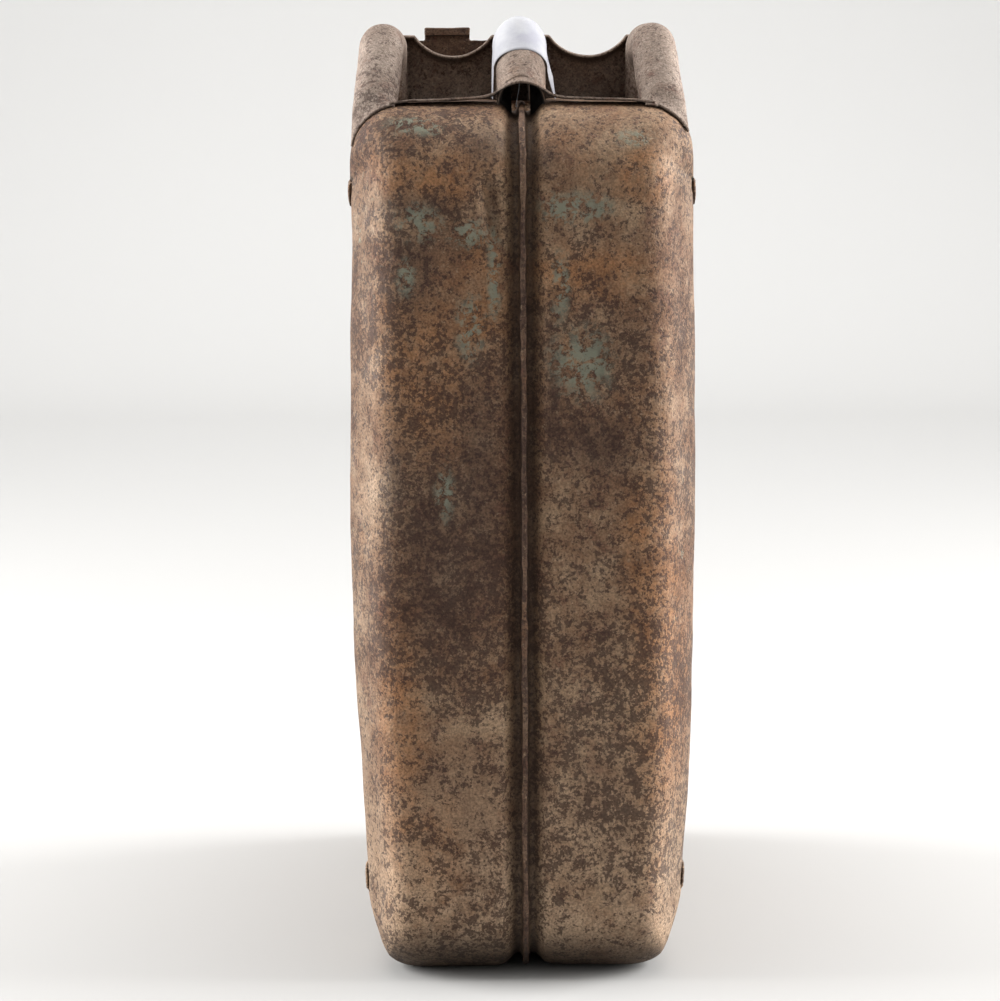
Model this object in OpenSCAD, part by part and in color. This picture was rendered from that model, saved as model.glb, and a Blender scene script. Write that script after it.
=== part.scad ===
// Steel jerry can: welded half shells, three-bar handle, hinged lid with a cam lever.
// Millimetres. X is the can's width, +Y points to the spout end, Z is up, Z = 0 is the ground.

/* [Can body] */
// Width over the two large faces
body_w = 166; // [150:1:180]
// Length from the plain end to the spout end
body_l = 345; // [325:1:370]
// Height of the flat top over the ground
body_h = 427; // [405:1:450]
// Thickness of the shell sheet
sheet_t = 1; // [0.8:0.1:1.3]
// Corner radius seen from the large face
corner_r = 38; // [34:1:44]
// Radius between the large face and the narrow faces
edge_r = 24; // [18:1:28]
// Length of the part of the top that slopes down to the spout end
slope_l = 144; // [138:6:156]

/* [Seam] */
// Width of the groove round the seam
groove_w = 14; // [12:0.5:18]
// Depth of the groove
groove_d = 6; // [4:0.5:8]
// How far the welded edge stays below the narrow faces
seam_sink = 1; // [0.8:0.1:2]
// Width of the weld on the edge
weld_w = 3.2; // [2.6:0.1:4]

/* [Pressed pattern] */
// Depth of the pressed frame and cross
bead_d = 4.5; // [2:0.5:6]
// Width of the pressed frame
frame_bead_w = 14; // [8:1:18]
// Distance from the flat area's border to the frame
frame_inset = 14; // [8:1:24]
// Width of the cross at the surface
cross_w = 20; // [14:1:26]
// Width of the cross at its floor
cross_floor_w = 10; // [6:1:12]

/* [Handle] */
// Height of the bars over the flat top
handle_rise = 40; // [36:1:46]
// Outside diameter of a bar
bar_d = 23; // [20:0.5:26]
// Distance between bar centres
bar_pitch = 69; // [66:0.5:70]
// Thickness of the handle sheet
handle_t = 1.2; // [1:0.1:1.5]
// Width of the open slot under a bar
bar_slot = 10; // [6:1:13]
// Where the bars leave the can's top, from the plain end
bar_start = 20; // [17:1:24]
// Where the bars turn down, from the plain end
bar_end = 142; // [135:1:150]
// Radius of the last bend, on the bar's centre line
bar_bend = 15; // [13:0.5:18]
// Depth of the strip that joins the bars at the plain end
strip_d = 14; // [10:1:18]
// Radius of the dip between two bars
scallop_r = 24; // [21:1:27]
// Height of the lowest point of a dip over the can's top
scallop_h = 22; // [16:1:26]

/* [Spout] */
// Outside diameter of the neck
neck_d = 58; // [52:1:62]
// Thickness of the neck's wall
neck_t = 1.5; // [1.2:0.1:2]
// Height of the neck over the sloping top
neck_h = 16; // [14:0.5:20]
// Distance of the neck's centre from the start of the slope, along the slope
neck_run = 76; // [74:1:84]
// Diameter of the flange round the neck
collar_d = 74; // [70:1:78]
// Outside diameter of the air pipe
pipe_d = 12; // [9:0.5:13]

/* [Lid] */
// Gap between the neck and the lid's skirt, on the radius
skirt_gap = 1; // [0.6:0.1:1.6]
// Thickness of the lid sheet
lid_t = 1.5; // [1.2:0.1:2]
// Length of the lid's skirt below the top of the neck
skirt_drop = 5.5; // [4:0.5:6]
// Thickness of the gasket
gasket_t = 2.5; // [2:0.5:4]
// Diameter of the hinge pin
hinge_pin_d = 5; // [4:0.5:6]
// Diameter of the lever's pivot pin
lever_pin_d = 4.5; // [4:0.5:5.5]
// Running clearance of the pins, on the radius
pin_gap = 0.05; // [0.02:0.01:0.1]
// Side clearance between hinged leaves
leaf_gap = 0.4; // [0.3:0.1:0.6]
// Distance of the hinge pin behind the neck's centre
hinge_back = 39; // [37:0.5:42]
// Length of the lever's grip in front of its pivot
grip_l = 28; // [24:1:34]
// Gap between the lever's hooks and the lugs they pull against
hook_gap = 0.5; // [0.4:0.1:1]

/* [Catch and tag] */
// Width of the catch tab
catch_w = 23; // [18:1:28]
// Distance of the catch from the centre bar
catch_x = 35; // [33:1:37]
// Length of the paper tag down the rising part of the bar, twice
tag_w = 16; // [12:2:24]

/* [Hidden] */
$fn = 96;
eps = 0.01;
function snap(v) = round(v * 20) / 20;
half_w = body_w / 2;
bar_r = bar_d / 2;
bar_z = body_h + handle_rise - bar_r;
// The top drops 7 in 24, and the bars rise 3 in 4.
slope_way = [24, -7] / 25;
slope_angle = atan2(7, 24);
slope_start = body_l - slope_l;
slope_drop = slope_l * 7 / 24;
slope_r = 56;
rise_way = [4, 3] / 5;
rise_angle = atan2(3, 4);
knee_r = 30;
knee_reach = knee_r / 3;
// The bar's centre line starts below the top, so that its crown stands rear_arch above it.
rear_arch = 8;
knee_rise = bar_z - body_h - rear_arch + bar_r / rise_way.x;
knee = [bar_start + snap(knee_rise * 4 / 3), bar_z];
groove_slant = 4;
collar_t = 2;
pipe_t = 1;
skirt_r = neck_d / 2 + skirt_gap + lid_t;
seal_gap = 0.1;
lid_z = neck_h + seal_gap + gasket_t;
lid_top = lid_z + lid_t;
skirt_z = neck_h - skirt_drop;
hinge_z = neck_h - 3;
knuckle_r = hinge_pin_d / 2 + 2.5;
knuckle_w = 15;
ear_t = 2.5;
pivot_front = neck_d / 2 - 5;
pivot_z = lid_top + 6;
pivot_r = lever_pin_d / 2 + 2.8;
leg_x = neck_d / 2 - 4;
leg_t = 2.5;
lug_t = 2.8;
lug_z = skirt_z - 0.6 - lug_t;
lug_front = pivot_front - 2.6;
lid_ear_x = 12;
steel = [0.44, 0.37, 0.31];
dark_steel = [0.33, 0.28, 0.25];
rubber = [0.12, 0.12, 0.12];
paper = [0.93, 0.93, 0.92];

// Outline of the can seen from its large face, counterclockwise, with a radius per corner.
outline = [
    [0, 0], [body_l, 0], [body_l, body_h - slope_drop], [slope_start, body_h], [0, body_h]
];
outline_r = [corner_r, corner_r, corner_r, slope_r, corner_r];
corners = len(outline);
function at(i) = outline[(i + corners) % corners];
function radius(i) = outline_r[(i + corners) % corners];
function way(i) = (at(i + 1) - at(i)) / norm(at(i + 1) - at(i));
function outward(i) = [way(i).y, -way(i).x];
function turn(i) = (atan2(way(i).y, way(i).x) - atan2(way(i - 1).y, way(i - 1).x) + 720) % 360;
function reach(i) = radius(i) * tan(turn(i) / 2);
function centre(i) = at(i) - way(i - 1) * reach(i) - outward(i - 1) * radius(i);

// Puts a shape drawn on the large face's plane into the can: +Z there becomes +X here.
module upright() {
    translate([0, -body_l / 2, 0]) rotate([90, 0, 90]) children();
}

module straight_run(i) {
    start = at(i) + way(i) * reach(i);
    run = norm(at(i + 1) - at(i)) - reach(i) - reach(i + 1);
    translate([start.x, start.y, 0])
        rotate([0, 0, atan2(way(i).y, way(i).x)])
            rotate([90, 0, 90])
                linear_extrude(run) children();
}

module quarter_run(i) {
    rotate([0, 0, atan2(outward(i - 1).y, outward(i - 1).x)])
        rotate_extrude(angle = 90) translate([radius(i), 0]) mirror([1, 0]) children();
}

// A corner of less than a quarter turn is cut from a quarter, so that its ends are true.
module corner_run(i) {
    wedge_l = 2 * body_l;
    translate([centre(i).x, centre(i).y, 0])
        if (abs(turn(i) - 90) < eps) {
            quarter_run(i) children();
        } else {
            intersection() {
                quarter_run(i) children();
                translate([0, 0, -half_w]) linear_extrude(2 * body_w) polygon([
                    [0, 0], outward(i - 1) * wedge_l,
                    (outward(i - 1) + outward(i)) * wedge_l, outward(i) * wedge_l
                ]);
            }
        }
}

// Runs a section round the outline. Its first axis is the depth below the narrow faces.
module round_outline() {
    for (i = [0 : corners - 1]) {
        straight_run(i) children();
        corner_run(i) children();
    }
}

function inset_centre(i, depth) = at(i) - (outward(i - 1) + outward(i)) * depth
    / (1 + outward(i - 1) * outward(i));

module outline_area(inset) {
    union() {
        polygon([
            for (i = [0 : corners - 1])
                for (side = [0, 1])
                    centre(i) + outward(i - 1 + side) * (radius(i) - inset)
        ]);
        for (i = [0 : corners - 1])
            translate(centre(i)) circle(radius(i) - inset);
    }
}

// The same outline moved inwards, with one radius r at every corner.
module inset_area(inset, r) {
    union() {
        polygon([
            for (i = [0 : corners - 1])
                for (side = [0, 1])
                    inset_centre(i, inset + r) + outward(i - 1 + side) * r
        ]);
        for (i = [0 : corners - 1])
            translate(inset_centre(i, inset + r)) circle(r);
    }
}

// Flange, groove floor, groove side, narrow face and the bend to the large face.
module shell_section() {
    mouth = groove_w / 2;
    foot = mouth - groove_slant;
    inner = groove_d + sheet_t;
    union() {
        translate([seam_sink, 0]) square([inner - seam_sink, sheet_t]);
        translate([groove_d, 0]) square([sheet_t, foot + 1]);
        polygon([
            [groove_d, foot], [0, mouth], [0, mouth + 3], [sheet_t, mouth + 3],
            [sheet_t, mouth + 1], [inner, foot + 1], [inner, foot]
        ]);
        translate([0, mouth + 2]) square([sheet_t, half_w - edge_r - mouth - 2]);
        intersection() {
            translate([edge_r, half_w - edge_r]) difference() {
                circle(edge_r);
                circle(edge_r - sheet_t);
            }
            translate([0, half_w - edge_r]) square([edge_r, edge_r]);
        }
    }
}

frame_in = edge_r + frame_inset;
frame_r = frame_bead_w + 8;

module frame_area(grow) {
    difference() {
        inset_area(frame_in - grow, frame_r + grow);
        inset_area(frame_in + frame_bead_w + grow, frame_r - frame_bead_w - grow);
    }
}

module cross_arm(depth, grow) {
    half_top = cross_w / 2 + grow;
    half_floor = cross_floor_w / 2 + grow;
    rotate([90, 0, 90]) translate([0, 0, -body_h / 2]) linear_extrude(body_h)
        polygon([[-half_top, 0], [-half_floor, -depth], [half_floor, -depth], [half_top, 0]]);
}

// Pressed frame and cross as one sunk volume. grow thickens it for the inner side.
module pressed_pattern(depth, grow) {
    inner = frame_in + frame_bead_w;
    low = [inner, inner];
    high = [body_l - inner, body_h - slope_drop - inner / 2];
    mid = (low + high) / 2;
    lean = atan2(high.y - low.y, high.x - low.x);
    union() {
        translate([0, 0, half_w - depth]) linear_extrude(depth) frame_area(grow);
        intersection() {
            translate([mid.x, mid.y, half_w]) {
                rotate([0, 0, lean]) cross_arm(depth, grow);
                rotate([0, 0, -lean]) cross_arm(depth, grow);
            }
            translate([0, 0, half_w - depth]) linear_extrude(depth)
                inset_area(frame_in + frame_bead_w / 2, frame_r - frame_bead_w / 2);
        }
    }
}

module half_shell() {
    difference() {
        union() {
            round_outline() shell_section();
            translate([0, 0, half_w - sheet_t])
                linear_extrude(sheet_t) outline_area(edge_r);
            pressed_pattern(bead_d + sheet_t, sheet_t);
        }
        translate([0, 0, eps]) pressed_pattern(bead_d + eps, 0);
    }
}

// The can's outer form as a full block with its groove, for cutting what sits on it.
module half_block() {
    mouth = groove_w / 2;
    foot = mouth - groove_slant;
    union() {
        linear_extrude(half_w) outline_area(edge_r);
        round_outline() union() {
            polygon([
                [groove_d, 0], [groove_d, foot], [0, mouth], [0, half_w - edge_r],
                [edge_r, half_w - edge_r], [edge_r, 0]
            ]);
            intersection() {
                translate([edge_r, half_w - edge_r]) circle(edge_r);
                translate([0, half_w - edge_r]) square([edge_r, edge_r]);
            }
        }
    }
}

module can_block() {
    union() {
        upright() half_block();
        mirror([1, 0, 0]) upright() half_block();
    }
}

// Moves to the middle of the spout, with Z along the neck and Y to the spout end.
module spout() {
    along = slope_way * neck_run;
    translate([0, slope_start - body_l / 2 + along.x, body_h + along.y])
        rotate([-slope_angle, 0, 0]) children();
}

module tube(d, t, h) {
    difference() {
        cylinder(d = d, h = h);
        translate([0, 0, -eps]) cylinder(d = d - 2 * t, h = h + 2 * eps);
    }
}

module shell_right() {
    color(steel) difference() {
        upright() half_shell();
        spout() translate([0, 0, -20]) cylinder(d = neck_d, h = 40);
    }
}

module shell_left() {
    mirror([1, 0, 0]) shell_right();
}

module seam_weld() {
    color(dark_steel) difference() {
        upright() translate([0, 0, -weld_w / 2])
            round_outline() square([seam_sink, weld_w]);
        spout() translate([0, 0, -20]) cylinder(d = collar_d + 1, h = 40);
    }
}

// Section of a bar: a tube that is open below.
module bar_section() {
    difference() {
        circle(bar_r);
        circle(bar_r - handle_t);
        translate([-bar_slot / 2, -bar_d]) square([bar_slot, bar_d]);
    }
}

// Draws in the plane of a bar's bends: its first axis is the length, its second the height.
module bar_plane() {
    rotate([90, 0, 90]) children();
}

module bar_run(start, angle, run) {
    translate([start.x, start.y, 0]) rotate([0, 0, angle]) rotate([90, 0, 90])
        linear_extrude(run) rotate(-90) children();
}

module bar_turn(middle, r, first, angle) {
    translate([middle.x, middle.y, 0]) rotate([0, 0, first]) rotate_extrude(angle = angle)
        translate([r, 0]) rotate(-90) children();
}

// Runs a section along a bar: up from the plain end, level, then down to the can.
module bar_path() {
    foot = body_h - 4;
    slant = snap((knee.x - bar_start) / rise_way.x) - knee_reach + 8;
    low = knee - rise_way * (slant + knee_reach);
    bar_plane() {
        bar_run(low, rise_angle, slant) children();
        bar_turn(knee + [knee_reach, -knee_r], knee_r, 90, rise_angle) children();
        bar_run(knee + [knee_reach, 0], 0, bar_end - bar_bend - knee.x - knee_reach) children();
        bar_turn([bar_end - bar_bend, bar_z - bar_bend], bar_bend, 0, 90) children();
        bar_run([bar_end, bar_z - bar_bend], -90, bar_z - bar_bend - foot) children();
    }
}

wall_y = bar_end + 5.5;

// The sheet between the bars at the spout side, with two dips.
module end_wall() {
    dip_z = body_h + scallop_h + scallop_r;
    translate([0, wall_y, 0]) rotate([90, 0, 0]) linear_extrude(handle_t)
        difference() {
            translate([-bar_pitch - 6, body_h - 4])
                square([2 * bar_pitch + 12, bar_z - body_h + 4]);
            for (side = [-1, 1])
                translate([side * bar_pitch / 2, dip_z]) circle(scallop_r);
        }
    for (side = [-1, 1])
        translate([side * bar_pitch / 2, wall_y, dip_z])
            rotate([90, 0, 0]) linear_extrude(5) difference() {
                circle(scallop_r + handle_t);
                circle(scallop_r);
                translate([-40, -6]) square([80, 80]);
            }
}

module rear_strip() {
    front = bar_start;
    translate([-half_w + edge_r, front, body_h])
        cube([body_w - 2 * edge_r, strip_d, handle_t]);
    for (side = [0, 1])
        mirror([side, 0, 0])
            translate([half_w - edge_r, front, body_h - edge_r])
                rotate([-90, 0, 0]) linear_extrude(strip_d) intersection() {
                    difference() {
                        circle(edge_r + handle_t);
                        circle(edge_r);
                    }
                    translate([0, -edge_r - 2]) square([edge_r + 2, edge_r - 10]);
                }
}

// The can's top and shoulders as a long block, for trimming the handle's feet.
module top_block() {
    low = body_h - edge_r;
    rotate([90, 0, 0]) translate([0, 0, -body_l]) linear_extrude(2 * body_l) difference() {
        union() {
            translate([-half_w, low - edge_r]) square([body_w, edge_r]);
            translate([-half_w + edge_r, low]) square([body_w - 2 * edge_r, edge_r]);
            for (side = [-1, 1])
                translate([side * (half_w - edge_r), low]) circle(edge_r);
        }
        translate([-groove_w / 2 + groove_slant, body_h - groove_d])
            square([groove_w - 2 * groove_slant, groove_d + 1]);
    }
}

module handle_unit() {
    color(steel) translate([0, -body_l / 2, 0]) {
        difference() {
            union() {
                for (place = [-1, 0, 1])
                    translate([place * bar_pitch, 0, 0]) bar_path() bar_section();
                difference() {
                    end_wall();
                    for (place = [-1, 0, 1])
                        translate([place * bar_pitch, 0, 0])
                            bar_path() circle(bar_r - handle_t / 2);
                }
            }
            top_block();
            translate([-body_w, -40, body_h - 50]) cube([2 * body_w, bar_start + 40, 120]);
        }
        difference() {
            rear_strip();
            for (place = [-1, 0, 1])
                translate([place * bar_pitch, 0, 0]) bar_path() circle(bar_r - handle_t / 2);
        }
    }
}

// Welds along the strip at the plain end and along the foot of the end wall.
module handle_welds() {
    size = 2.4;
    run = bar_pitch - 2 * bar_r - 2;
    color(dark_steel)
        for (side = [-1, 1])
            translate([side * bar_pitch / 2 - run / 2, -body_l / 2, body_h]) {
                translate([0, bar_start, 0]) rotate([90, 0, 90]) linear_extrude(run - 8)
                    polygon([[0, 0], [0, handle_t], [-size, 0]]);
                translate([0, wall_y, 0]) rotate([90, 0, 90]) linear_extrude(run)
                    polygon([[0, 0], [size, 0], [0, size]]);
            }
}

module lid_catch() {
    plate_t = 1.5;
    plate_w = bar_pitch - 2 * bar_r - 3;
    plate_low = 10;
    plate_high = handle_rise - 11;
    tab_z = handle_rise - 5.5;
    lip = 6;
    color(steel) translate([-catch_x, wall_y - body_l / 2, body_h]) difference() {
        union() {
            translate([-plate_w / 2, 0, plate_low])
                cube([plate_w, plate_t, plate_high - plate_low]);
            translate([-catch_w / 2, 0, plate_low])
                cube([catch_w, plate_t, tab_z - plate_low]);
            translate([-catch_w / 2, -lip, tab_z - plate_t])
                cube([catch_w, lip + plate_t, plate_t]);
        }
        translate([-catch_w / 5, -lip / 2, tab_z - 3]) cylinder(d = 2.4, h = 6);
    }
}

// Flange round the neck. It also closes the seam's groove underneath.
module neck_collar() {
    color(steel) difference() {
        spout() translate([0, 0, -groove_d - 2]) cylinder(d = collar_d, h = groove_d + 2 + collar_t);
        can_block();
        spout() translate([0, 0, -20]) cylinder(d = neck_d, h = 40);
        spout() translate([-sheet_t, -body_l, -20]) cube([2 * sheet_t, 2 * body_l, 20 - seam_sink]);
    }
}

module neck_tube() {
    below = groove_d + sheet_t + 3;
    color(steel) spout() translate([0, 0, -below]) tube(neck_d, neck_t, neck_h + below);
}

module neck_lugs() {
    back = 8;
    color(steel) spout() difference() {
        for (side = [-1, 1])
            translate([side * (leg_x + leg_t / 2) - leg_t / 2 - 0.2, back, lug_z])
                cube([leg_t + 0.4, lug_front - back, lug_t]);
        cylinder(d = neck_d, h = neck_h);
    }
}

// Outline in the plane across the hinge pins, extruded along them from x0 over width.
module leaf(x0, width) {
    translate([x0, 0, 0]) rotate([90, 0, 90]) linear_extrude(width) children();
}

module hinge_bracket() {
    ear_x = knuckle_w / 2 + leaf_gap;
    near = neck_d / 2 + 1.5;
    far = collar_d / 2 - 0.3;
    ledge = skirt_z - 1.5;
    color(steel) spout() difference() {
        union() {
            leaf(-ear_x - ear_t, 2 * (ear_x + ear_t))
                polygon([[-near, collar_t], [-near, collar_t + 2], [-far, collar_t + 2], [-far, collar_t]]);
            for (x0 = [-ear_x - ear_t, ear_x])
                leaf(x0, ear_t) union() {
                    polygon([
                        [-near, collar_t], [-near, ledge], [-skirt_r - 1.5, ledge],
                        [-hinge_back + knuckle_r * 0.8, hinge_z + knuckle_r * 0.6],
                        [-hinge_back - knuckle_r, hinge_z], [-far, collar_t]
                    ]);
                    translate([-hinge_back, hinge_z]) circle(knuckle_r);
                }
        }
        leaf(-body_w / 2, body_w) translate([-hinge_back, hinge_z]) circle(d = hinge_pin_d);
    }
}

module hinge_pin() {
    ear_x = knuckle_w / 2 + leaf_gap + ear_t;
    color(dark_steel) spout() {
        leaf(-ear_x, 2 * ear_x) translate([-hinge_back, hinge_z]) circle(d = hinge_pin_d);
        for (x0 = [-ear_x - 1.5, ear_x])
            leaf(x0, 1.5) translate([-hinge_back, hinge_z]) circle(d = hinge_pin_d + 2.5);
    }
}

pipe_back = neck_d / 2 - neck_t - pipe_d / 2 - 1.5;

// Air pipe: from the mouth down through the neck, then back and up under the handles.
module air_pipe() {
    drop = 26;
    bend_r = 20;
    tail = 55;
    color(steel) spout() translate([0, -pipe_back, 0]) {
        translate([0, 0, -drop]) linear_extrude(drop + neck_h - 3) pipe_ring();
        translate([0, -bend_r, -drop]) rotate([90, 0, 90]) rotate([0, 0, -90])
            rotate_extrude(angle = 90) translate([bend_r, 0]) pipe_ring();
        translate([0, -bend_r, -drop - bend_r]) rotate([90, 0, 0])
            linear_extrude(tail) pipe_ring();
    }
}

module pipe_ring() {
    difference() {
        circle(d = pipe_d);
        circle(d = pipe_d - 2 * pipe_t);
    }
}

module air_pipe_bridge() {
    color(steel) spout() intersection() {
        difference() {
            translate([-2, -neck_d / 2, -2]) cube([4, neck_d / 2 - pipe_back, 9]);
            translate([0, -pipe_back, -3]) cylinder(d = pipe_d, h = 12);
        }
        translate([0, 0, -4]) cylinder(d = neck_d - 2 * neck_t, h = 14);
    }
}

module lid() {
    color(steel) spout() difference() {
        union() {
            translate([0, 0, lid_z]) cylinder(r = skirt_r, h = lid_t);
            translate([0, 0, skirt_z])
                tube(2 * skirt_r, lid_t, lid_z - skirt_z);
        }
        cylinder(d = 8, h = pivot_z);
    }
}

module lid_strap() {
    back = -skirt_r - 1.2;
    color(steel) spout() difference() {
        leaf(-knuckle_w / 2, knuckle_w) union() {
            translate([-hinge_back, hinge_z]) circle(knuckle_r);
            polygon([
                [-hinge_back, hinge_z + knuckle_r - 2.6], [back, hinge_z + 1], [back, lid_top],
                [-9, lid_top], [-9, lid_top + 2], [back - 3, lid_top + 2],
                [-hinge_back - 1, hinge_z + knuckle_r - 0.6]
            ]);
        }
        leaf(-body_w / 2, body_w) translate([-hinge_back, hinge_z])
            circle(d = hinge_pin_d + 2 * pin_gap);
    }
}

module lid_ears() {
    span = 2 * (lid_ear_x + ear_t);
    color(steel) spout() difference() {
        union() {
            translate([-span / 2, 11, lid_top]) cube([span, 9, 1.5]);
            for (x0 = [-lid_ear_x - ear_t, lid_ear_x])
                leaf(x0, ear_t) union() {
                    polygon([
                        [11, lid_top], [11, lid_top + 1.5], [pivot_front - 3, pivot_z + 4],
                        [pivot_front + 4, pivot_z], [pivot_front + 3.5, lid_top]
                    ]);
                    translate([pivot_front, pivot_z]) circle(pivot_r);
                }
        }
        leaf(-body_w / 2, body_w) translate([pivot_front, pivot_z])
            circle(d = lever_pin_d + 2 * pin_gap);
    }
}

module gasket() {
    outer = skirt_r - lid_t - 0.1;
    color(rubber) spout() translate([0, 0, neck_h + seal_gap])
        tube(2 * outer, outer - neck_d / 2 + neck_t + 1.2, gasket_t);
}

module gasket_retainer() {
    r = neck_d / 2 - neck_t - 1.6;
    color(steel) spout() translate([0, 0, lid_z - 1.5]) difference() {
        cylinder(r = r, h = 1.5);
        translate([0, 0, -1]) cylinder(d = 8, h = 4);
    }
}

module retainer_rivet() {
    color(dark_steel) spout() {
        translate([0, 0, lid_z - 1.5]) cylinder(d = 8, h = lid_t + 1.5);
        translate([0, 0, lid_top]) cylinder(d = 13, h = 1.5);
        translate([0, 0, lid_z - 3]) cylinder(d = 13, h = 1.5);
    }
}

module lever() {
    tip = pivot_front + grip_l;
    nose_z = lug_z - hook_gap - 3;
    color(steel) spout() difference() {
        union() {
            for (x0 = [-leg_x - leg_t, leg_x])
                leaf(x0, leg_t) union() {
                    polygon([
                        [lug_front - 4, nose_z], [lug_front - 4, nose_z + 3],
                        [lug_front + 1.2, nose_z + 3], [lug_front + 1.2, pivot_z],
                        [pivot_front, pivot_z + pivot_r], [tip, pivot_z - 1.5],
                        [tip, pivot_z - 5], [pivot_front + 4, pivot_z - 4],
                        [pivot_front + 4, nose_z + 1], [pivot_front + 3, nose_z]
                    ]);
                    translate([pivot_front, pivot_z]) circle(pivot_r);
                }
            leaf(-leg_x - 1, 2 * leg_x + 2) polygon([
                [tip - 17, pivot_z - 0.5], [tip, pivot_z - 2.5], [tip, pivot_z - 4.5],
                [tip - 17, pivot_z - 2.5]
            ]);
        }
        leaf(-body_w / 2, body_w) translate([pivot_front, pivot_z]) circle(d = lever_pin_d);
    }
}

module lever_pin() {
    reach = leg_x + leg_t;
    color(dark_steel) spout() {
        leaf(-reach, 2 * reach) translate([pivot_front, pivot_z]) circle(d = lever_pin_d);
        for (x0 = [-reach - 1.2, reach])
            leaf(x0, 1.2) translate([pivot_front, pivot_z]) circle(d = lever_pin_d + 2.5);
    }
}

module tag_section() {
    difference() {
        circle(bar_r + 0.5);
        circle(bar_r + 0.1);
        translate([-bar_d, -bar_d - bar_r / 3]) square([2 * bar_d, bar_d]);
    }
}

// Paper tag folded over the knee of the centre bar.
module paper_tag() {
    low = knee - rise_way * (knee_reach + tag_w / 2);
    color(paper) translate([0, -body_l / 2, 0]) bar_plane() {
        bar_run(low, rise_angle, tag_w / 2) tag_section();
        bar_turn(knee + [knee_reach, -knee_r], knee_r, 90, rise_angle) tag_section();
        bar_run(knee + [knee_reach, 0], 0, tag_w / 4) tag_section();
    }
}

shell_left();
shell_right();
seam_weld();
handle_unit();
handle_welds();
lid_catch();
neck_collar();
neck_tube();
neck_lugs();
hinge_bracket();
hinge_pin();
air_pipe();
air_pipe_bridge();
lid();
lid_strap();
lid_ears();
gasket();
gasket_retainer();
retainer_rivet();
lever();
lever_pin();
paper_tag();
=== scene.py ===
import math
import bpy
import numpy as np
from mathutils import Vector, Matrix


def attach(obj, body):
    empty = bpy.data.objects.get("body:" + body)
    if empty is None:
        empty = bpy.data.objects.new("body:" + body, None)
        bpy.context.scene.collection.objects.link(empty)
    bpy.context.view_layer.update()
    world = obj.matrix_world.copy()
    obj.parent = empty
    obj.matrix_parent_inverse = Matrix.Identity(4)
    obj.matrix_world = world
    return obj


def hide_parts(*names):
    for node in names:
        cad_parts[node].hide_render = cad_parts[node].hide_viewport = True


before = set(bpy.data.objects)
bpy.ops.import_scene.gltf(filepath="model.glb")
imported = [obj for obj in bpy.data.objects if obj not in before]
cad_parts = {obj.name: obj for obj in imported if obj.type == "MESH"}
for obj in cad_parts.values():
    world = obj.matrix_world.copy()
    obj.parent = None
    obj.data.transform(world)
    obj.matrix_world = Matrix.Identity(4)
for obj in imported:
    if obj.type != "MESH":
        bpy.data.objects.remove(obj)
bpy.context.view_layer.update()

# ---------------------------------------------------------------- sizes shared by all
# Lengths are in millimetres. x is across the can, y along it (plain end at -HALF_L), z is up.
MM = 0.001
BODY_L, BODY_H, HALF_W = 345.0, 427.0, 83.0
HALF_L = BODY_L / 2

# ---------------------------------------------------------------- camera
LENS, SENSOR = 126.0, 36.0
# How far the camera stands from the plain end, how high, and how far to the right.
CAM_D, CAM_H, CAM_X = 1668.0, 445.0, -11.6
# Degrees down from level, and degrees turned about the line of sight.
CAM_PITCH, CAM_ROLL = 7.1, -0.29


def make_camera():
    data = bpy.data.cameras.new("camera")
    data.sensor_fit = "HORIZONTAL"
    data.sensor_width = SENSOR
    data.lens = LENS
    data.clip_start = 0.05
    data.clip_end = 30.0
    cam = bpy.data.objects.new("camera", data)
    bpy.context.scene.collection.objects.link(cam)
    cam.location = (CAM_X * MM, (-HALF_L - CAM_D) * MM, CAM_H * MM)
    tilt = Matrix.Rotation(math.radians(90 - CAM_PITCH), 3, "X")
    roll = Matrix.Rotation(math.radians(CAM_ROLL), 3, "Z")
    cam.rotation_euler = (tilt @ roll).to_euler()
    return cam


bpy.context.scene.camera = make_camera()


# ---------------------------------------------------------------- numeric helpers
def smooth(a, b, x):
    """0 at a and before, 1 at b and beyond, eased between."""
    t = np.clip((np.asarray(x, float) - a) / (b - a), 0, 1)
    return t * t * (3 - 2 * t)


def hump(x, centre, width):
    """A bell 1 high at centre."""
    return np.exp(-((np.asarray(x, float) - centre) / width) ** 2)


class Noise:
    """Smooth value noise on a lattice, about -1 to 1."""

    def __init__(self, seed):
        rng = np.random.default_rng(seed)
        self.table = rng.uniform(-1, 1, 4096)
        self.perm = rng.permutation(4096)

    def _at(self, i, j, k):
        h = self.perm[(i * 73 + 19) & 4095]
        h = self.perm[(h + j * 151) & 4095]
        h = self.perm[(h + k * 57) & 4095]
        return self.table[h]

    def __call__(self, p, size):
        q = np.asarray(p, float) / size
        i = np.floor(q).astype(int)
        f = q - i
        f = f * f * f * (f * (f * 6 - 15) + 10)
        out = 0.0
        for a in (0, 1):
            wa = f[..., 0] if a else 1 - f[..., 0]
            for b in (0, 1):
                wb = f[..., 1] if b else 1 - f[..., 1]
                for c in (0, 1):
                    wc = f[..., 2] if c else 1 - f[..., 2]
                    out = out + wa * wb * wc * self._at(i[..., 0] + a, i[..., 1] + b, i[..., 2] + c)
        return out


def make_mesh(name, verts_mm, faces, replaced, material):
    """A smooth-shaded piece that rides on the can and stands in for CAD nodes."""
    mesh = bpy.data.meshes.new(name)
    mesh.from_pydata((np.asarray(verts_mm, float) * MM).tolist(), [], [list(map(int, f)) for f in faces])
    mesh.validate()
    mesh.update()
    obj = bpy.data.objects.new(name, mesh)
    bpy.context.scene.collection.objects.link(obj)
    for poly in mesh.polygons:
        poly.use_smooth = True
    mesh.materials.append(material)
    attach(obj, "can")
    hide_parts(*replaced)
    return obj


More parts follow.
